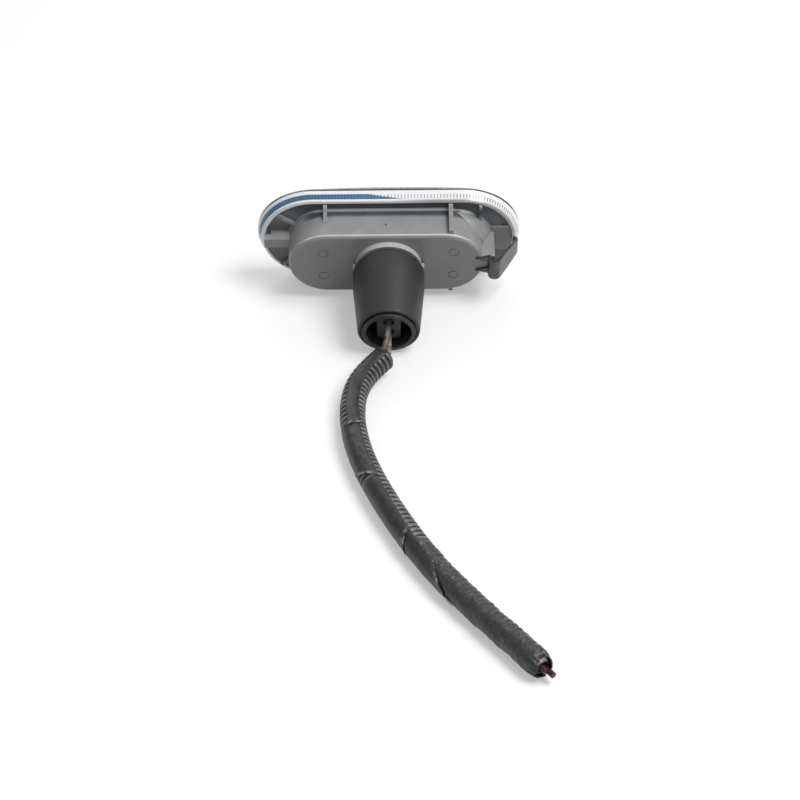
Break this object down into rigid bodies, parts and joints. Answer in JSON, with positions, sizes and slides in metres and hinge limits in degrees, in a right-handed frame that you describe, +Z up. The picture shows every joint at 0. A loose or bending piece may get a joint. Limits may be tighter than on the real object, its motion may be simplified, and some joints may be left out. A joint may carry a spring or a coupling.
{
  "type": "side repeater lamp",
  "caption": "Oval clear side repeater lamp for a car wing, with a moulded rear housing, fixed hook and spring clip, a rubber-booted plug and a short cut harness in split conduit.",
  "frame": {"origin": "on the floor, under the middle of the lamp from the lens front to the end of the boot", "axes": "+X along the lens towards the spring clip, +Y the way the lens faces along the floor, +Z up; the lamp rests on its lens edge and the end of its boot"},
  "size_m": [0.1076, 0.2337, 0.0459],
  "materials": {
    "lens_clear": "clear polished plastic",
    "housing_grey": "fine moulded texture",
    "reflector_bright": "metallised bright",
    "clip_steel": "dark spring steel",
    "boot_rubber": "matte black",
    "holder_black": "moulded black",
    "seal_rubber": "matte black",
    "contact_brass": "plain",
    "bulb_amber": "amber glass",
    "filament_wire": "drawn wire",
    "plug_black": "moulded dark",
    "wire_brown": "wire insulation",
    "wire_grey": "wire insulation",
    "conduit_black": "corrugated black",
    "tape_black": "wrinkled black tape"
  },
  "bodies": {
    "root": {"lens": "lens_clear", "housing": "housing_grey", "reflector": "reflector_bright", "retaining_clip": "clip_steel", "boot": "boot_rubber", "bulb_holder": "holder_black", "holder_seal": "seal_rubber", "bulb_contact_upper": "contact_brass", "bulb_contact_lower": "contact_brass", "bulb_glass": "bulb_amber", "bulb_filament": "filament_wire", "plug": "plug_black", "plug_terminal_upper": "contact_brass", "plug_terminal_lower": "contact_brass", "brown_wire": "wire_brown", "grey_wire": "wire_grey", "conduit": "conduit_black", "harness_tape": "tape_black"}
  },
  "joints": []
}
